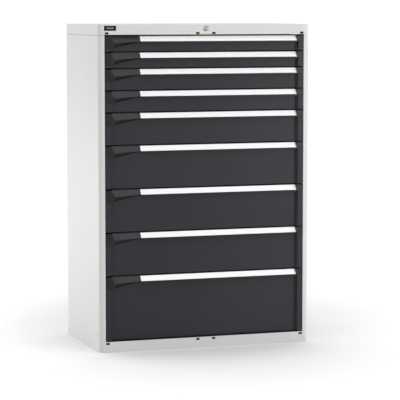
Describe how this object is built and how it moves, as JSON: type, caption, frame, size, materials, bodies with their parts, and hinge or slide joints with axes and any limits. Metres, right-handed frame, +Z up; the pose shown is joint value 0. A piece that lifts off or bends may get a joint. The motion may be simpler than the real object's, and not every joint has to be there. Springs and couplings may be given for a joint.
{
  "type": "tall chest of drawers",
  "caption": "Tall steel tool cabinet with full-extension drawers of graded height, label strips, tilting side grips and one key lock.",
  "frame": {"origin": "on the floor under the middle of the housing", "axes": "+Z up, +X to the right seen from the front, -Y out of the drawer fronts"},
  "size_m": [1.023, 0.572, 1.5],
  "materials": {
    "housing_paint": "light grey powder coat, fine texture",
    "front_paint": "anthracite powder coat, satin",
    "tray_paint": "anthracite powder coat, satin",
    "label_strip": "white label insert under a clear cover",
    "grip_plastic": "black moulded, fine texture",
    "zinc_steel": "zinc plated",
    "lock_metal": "satin nickel",
    "badge": "black, blank"
  },
  "bodies": {
    "housing": {"left_side": "housing_paint", "right_side": "housing_paint", "back_panel": "housing_paint", "base_pan": "housing_paint", "top_cover": "housing_paint", "name_badge": "badge", "left_runner_frame": "zinc_steel", "right_runner_frame": "zinc_steel", "lock_case": "zinc_steel", "lock_ring": "lock_metal"},
    "lock_barrel": {"lock_barrel": "lock_metal"},
    "lock_bar": {"lock_bar": "zinc_steel", "lock_link": "zinc_steel"},
    "drawer_1": {"drawer_1_tray": "tray_paint", "drawer_1_front": "front_paint", "drawer_1_label_strip": "label_strip"},
    "grip_1": {"drawer_1_grip": "grip_plastic"},
    "carriage_1": {"drawer_1_carriage": "zinc_steel"},
    "drawer_2": {"drawer_2_tray": "tray_paint", "drawer_2_front": "front_paint", "drawer_2_label_strip": "label_strip"},
    "grip_2": {"drawer_2_grip": "grip_plastic"},
    "carriage_2": {"drawer_2_carriage": "zinc_steel"},
    "drawer_3": {"drawer_3_tray": "tray_paint", "drawer_3_front": "front_paint", "drawer_3_label_strip": "label_strip"},
    "grip_3": {"drawer_3_grip": "grip_plastic"},
    "carriage_3": {"drawer_3_carriage": "zinc_steel"},
    "drawer_4": {"drawer_4_tray": "tray_paint", "drawer_4_front": "front_paint", "drawer_4_label_strip": "label_strip"},
    "grip_4": {"drawer_4_grip": "grip_plastic"},
    "carriage_4": {"drawer_4_carriage": "zinc_steel"},
    "drawer_5": {"drawer_5_tray": "tray_paint", "drawer_5_front": "front_paint", "drawer_5_label_strip": "label_strip"},
    "grip_5": {"drawer_5_grip": "grip_plastic"},
    "carriage_5": {"drawer_5_carriage": "zinc_steel"},
    "drawer_6": {"drawer_6_tray": "tray_paint", "drawer_6_front": "front_paint", "drawer_6_label_strip": "label_strip"},
    "grip_6": {"drawer_6_grip": "grip_plastic"},
    "carriage_6": {"drawer_6_carriage": "zinc_steel"},
    "drawer_7": {"drawer_7_tray": "tray_paint", "drawer_7_front": "front_paint", "drawer_7_label_strip": "label_strip"},
    "grip_7": {"drawer_7_grip": "grip_plastic"},
    "carriage_7": {"drawer_7_carriage": "zinc_steel"},
    "drawer_8": {"drawer_8_tray": "tray_paint", "drawer_8_front": "front_paint", "drawer_8_label_strip": "label_strip"},
    "grip_8": {"drawer_8_grip": "grip_plastic"},
    "carriage_8": {"drawer_8_carriage": "zinc_steel"},
    "drawer_9": {"drawer_9_tray": "tray_paint", "drawer_9_front": "front_paint", "drawer_9_label_strip": "label_strip"},
    "grip_9": {"drawer_9_grip": "grip_plastic"},
    "carriage_9": {"drawer_9_carriage": "zinc_steel"}
  },
  "joints": [
    {"name": "lock_bar_slide", "type": "slide", "parent": "housing", "child": "lock_bar", "axis": [-1, 0, 0], "range_m": [0, 0.01273]},
    {"name": "lock_turn", "type": "hinge", "parent": "housing", "child": "lock_barrel", "pos_m": [0, -0.27, 1.4805], "axis": [0, -1, 0], "range_deg": [0, 90]},
    {"name": "drawer_1_slide", "type": "slide", "parent": "housing", "child": "drawer_1", "axis": [0, -1, 0], "range_m": [0, 0.47]},
    {"name": "drawer_1_grip_tilt", "type": "hinge", "parent": "drawer_1", "child": "grip_1", "pos_m": [-0.465, -0.263, 1.4415], "axis": [-1, 0, 0], "range_deg": [0, 12], "stiffness_Nm_per_rad": 1.5, "springref_deg": -5.73},
    {"name": "drawer_1_carriage_slide", "type": "slide", "parent": "housing", "child": "carriage_1", "axis": [0, -1, 0], "range_m": [0, 0.235]},
    {"name": "drawer_2_slide", "type": "slide", "parent": "housing", "child": "drawer_2", "axis": [0, -1, 0], "range_m": [0, 0.47]},
    {"name": "drawer_2_grip_tilt", "type": "hinge", "parent": "drawer_2", "child": "grip_2", "pos_m": [-0.465, -0.263, 1.3665], "axis": [-1, 0, 0], "range_deg": [0, 12], "stiffness_Nm_per_rad": 1.5, "springref_deg": -5.73},
    {"name": "drawer_2_carriage_slide", "type": "slide", "parent": "housing", "child": "carriage_2", "axis": [0, -1, 0], "range_m": [0, 0.235]},
    {"name": "drawer_3_slide", "type": "slide", "parent": "housing", "child": "drawer_3", "axis": [0, -1, 0], "range_m": [0, 0.47]},
    {"name": "drawer_3_grip_tilt", "type": "hinge", "parent": "drawer_3", "child": "grip_3", "pos_m": [-0.465, -0.263, 1.2915], "axis": [-1, 0, 0], "range_deg": [0, 12], "stiffness_Nm_per_rad": 1.5, "springref_deg": -5.73},
    {"name": "drawer_3_carriage_slide", "type": "slide", "parent": "housing", "child": "carriage_3", "axis": [0, -1, 0], "range_m": [0, 0.235]},
    {"name": "drawer_4_slide", "type": "slide", "parent": "housing", "child": "drawer_4", "axis": [0, -1, 0], "range_m": [0, 0.47]},
    {"name": "drawer_4_grip_tilt", "type": "hinge", "parent": "drawer_4", "child": "grip_4", "pos_m": [-0.465, -0.263, 1.1915], "axis": [-1, 0, 0], "range_deg": [0, 12], "stiffness_Nm_per_rad": 1.5, "springref_deg": -5.73},
    {"name": "drawer_4_carriage_slide", "type": "slide", "parent": "housing", "child": "carriage_4", "axis": [0, -1, 0], "range_m": [0, 0.235]},
    {"name": "drawer_5_slide", "type": "slide", "parent": "housing", "child": "drawer_5", "axis": [0, -1, 0], "range_m": [0, 0.47]},
    {"name": "drawer_5_grip_tilt", "type": "hinge", "parent": "drawer_5", "child": "grip_5", "pos_m": [-0.465, -0.263, 1.0915], "axis": [-1, 0, 0], "range_deg": [0, 12], "stiffness_Nm_per_rad": 1.5, "springref_deg": -5.73},
    {"name": "drawer_5_carriage_slide", "type": "slide", "parent": "housing", "child": "carriage_5", "axis": [0, -1, 0], "range_m": [0, 0.235]},
    {"name": "drawer_6_slide", "type": "slide", "parent": "housing", "child": "drawer_6", "axis": [0, -1, 0], "range_m": [0, 0.47]},
    {"name": "drawer_6_grip_tilt", "type": "hinge", "parent": "drawer_6", "child": "grip_6", "pos_m": [-0.465, -0.263, 0.9415], "axis": [-1, 0, 0], "range_deg": [0, 12], "stiffness_Nm_per_rad": 1.5, "springref_deg": -5.73},
    {"name": "drawer_6_carriage_slide", "type": "slide", "parent": "housing", "child": "carriage_6", "axis": [0, -1, 0], "range_m": [0, 0.235]},
    {"name": "drawer_7_slide", "type": "slide", "parent": "housing", "child": "drawer_7", "axis": [0, -1, 0], "range_m": [0, 0.47]},
    {"name": "drawer_7_grip_tilt", "type": "hinge", "parent": "drawer_7", "child": "grip_7", "pos_m": [-0.465, -0.263, 0.7415], "axis": [-1, 0, 0], "range_deg": [0, 12], "stiffness_Nm_per_rad": 1.5, "springref_deg": -5.73},
    {"name": "drawer_7_carriage_slide", "type": "slide", "parent": "housing", "child": "carriage_7", "axis": [0, -1, 0], "range_m": [0, 0.235]},
    {"name": "drawer_8_slide", "type": "slide", "parent": "housing", "child": "drawer_8", "axis": [0, -1, 0], "range_m": [0, 0.47]},
    {"name": "drawer_8_grip_tilt", "type": "hinge", "parent": "drawer_8", "child": "grip_8", "pos_m": [-0.465, -0.263, 0.5415], "axis": [-1, 0, 0], "range_deg": [0, 12], "stiffness_Nm_per_rad": 1.5, "springref_deg": -5.73},
    {"name": "drawer_8_carriage_slide", "type": "slide", "parent": "housing", "child": "carriage_8", "axis": [0, -1, 0], "range_m": [0, 0.235]},
    {"name": "drawer_9_slide", "type": "slide", "parent": "housing", "child": "drawer_9", "axis": [0, -1, 0], "range_m": [0, 0.47]},
    {"name": "drawer_9_grip_tilt", "type": "hinge", "parent": "drawer_9", "child": "grip_9", "pos_m": [-0.465, -0.263, 0.3415], "axis": [-1, 0, 0], "range_deg": [0, 12], "stiffness_Nm_per_rad": 1.5, "springref_deg": -5.73},
    {"name": "drawer_9_carriage_slide", "type": "slide", "parent": "housing", "child": "carriage_9", "axis": [0, -1, 0], "range_m": [0, 0.235]}
  ],
  "couplings": [
    {"joint": "lock_turn", "follows": "lock_bar_slide", "rad_per_m": 123.41},
    {"joint": "drawer_1_carriage_slide", "follows": "drawer_1_slide", "ratio": 0.5},
    {"joint": "drawer_2_carriage_slide", "follows": "drawer_2_slide", "ratio": 0.5},
    {"joint": "drawer_3_carriage_slide", "follows": "drawer_3_slide", "ratio": 0.5},
    {"joint": "drawer_4_carriage_slide", "follows": "drawer_4_slide", "ratio": 0.5},
    {"joint": "drawer_5_carriage_slide", "follows": "drawer_5_slide", "ratio": 0.5},
    {"joint": "drawer_6_carriage_slide", "follows": "drawer_6_slide", "ratio": 0.5},
    {"joint": "drawer_7_carriage_slide", "follows": "drawer_7_slide", "ratio": 0.5},
    {"joint": "drawer_8_carriage_slide", "follows": "drawer_8_slide", "ratio": 0.5},
    {"joint": "drawer_9_carriage_slide", "follows": "drawer_9_slide", "ratio": 0.5}
  ]
}
